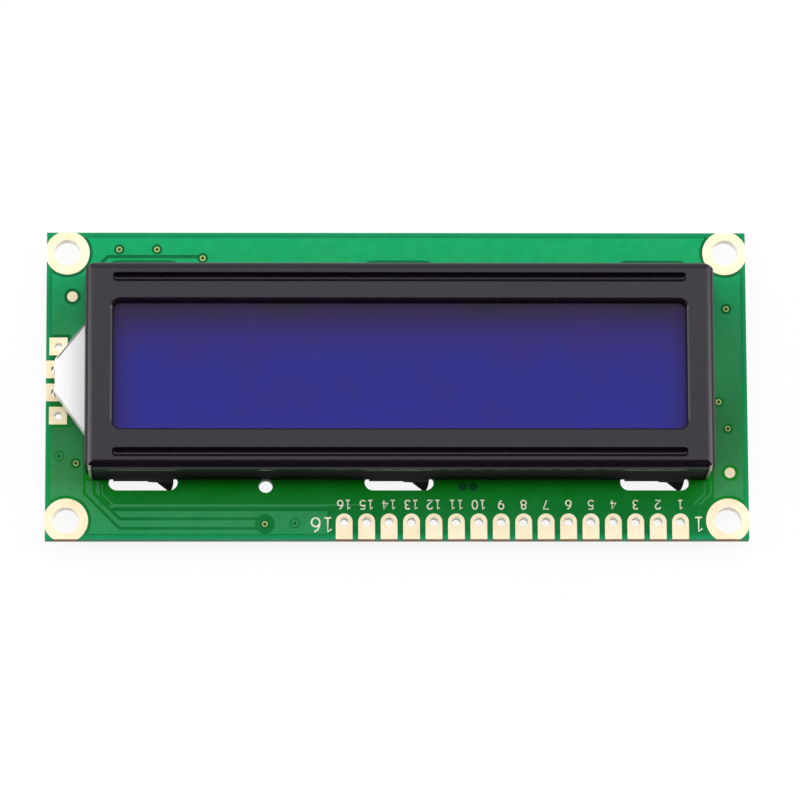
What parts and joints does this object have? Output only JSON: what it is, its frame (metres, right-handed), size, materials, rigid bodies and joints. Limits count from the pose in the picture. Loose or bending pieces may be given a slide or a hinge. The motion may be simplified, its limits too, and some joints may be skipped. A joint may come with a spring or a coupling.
{
  "type": "character lcd module",
  "caption": "Flat blue character display in a black folded sheet bezel on a green circuit board with corner mounting holes and a row of header holes.",
  "frame": {"origin": "centre of the four mounting holes, on the board's front face", "axes": "+X along the display, with the header row at the right of the lower edge; +Y across the board, away from the header row; +Z out of the display"},
  "size_m": [0.0798, 0.0355, 0.0101],
  "materials": {
    "board_mask": "satin green solder mask on laminate",
    "copper_mask": "satin green solder mask over copper",
    "gold_plate": "pale immersion gold",
    "via_mask": "mask over plated rings",
    "bezel_black": "glossy black on folded steel sheet",
    "polariser": "glossy deep blue film",
    "cell_glass": "clear glass",
    "seal": "cured epoxy",
    "contact_rubber": "layered silicone",
    "film_white": "white film",
    "guide_acrylic": "clear acrylic",
    "housing_white": "glossy white moulding",
    "lamp": "lamp with a yellow phosphor face",
    "tin": "bright tin",
    "cover_epoxy": "black epoxy",
    "resistor_black": "black glaze",
    "capacitor_tan": "tan ceramic"
  },
  "bodies": {
    "root": {"circuit_board": "board_mask", "front_copper": "copper_mask", "back_copper": "copper_mask", "mounting_hole_plating": "gold_plate", "header_hole_plating": "gold_plate", "backlight_hole_plating": "gold_plate", "via_plating": "via_mask", "test_dots": "gold_plate", "upper_contact_fingers": "gold_plate", "lower_contact_fingers": "gold_plate", "chip_lands": "tin", "bezel": "bezel_black", "front_polariser": "polariser", "front_glass": "cell_glass", "cell_seal": "seal", "rear_glass": "cell_glass", "rear_polariser": "polariser", "upper_contact_strip": "contact_rubber", "lower_contact_strip": "contact_rubber", "diffuser_film": "film_white", "light_guide": "guide_acrylic", "reflector_film": "film_white", "backlight_housing": "housing_white", "backlight_led": "lamp", "backlight_leads": "tin", "lead_solder": "tin", "controller_cover": "cover_epoxy", "driver_cover": "cover_epoxy", "chip_resistors": "resistor_black", "chip_resistor_ends": "tin", "chip_capacitors": "capacitor_tan", "chip_capacitor_ends": "tin"}
  },
  "joints": []
}
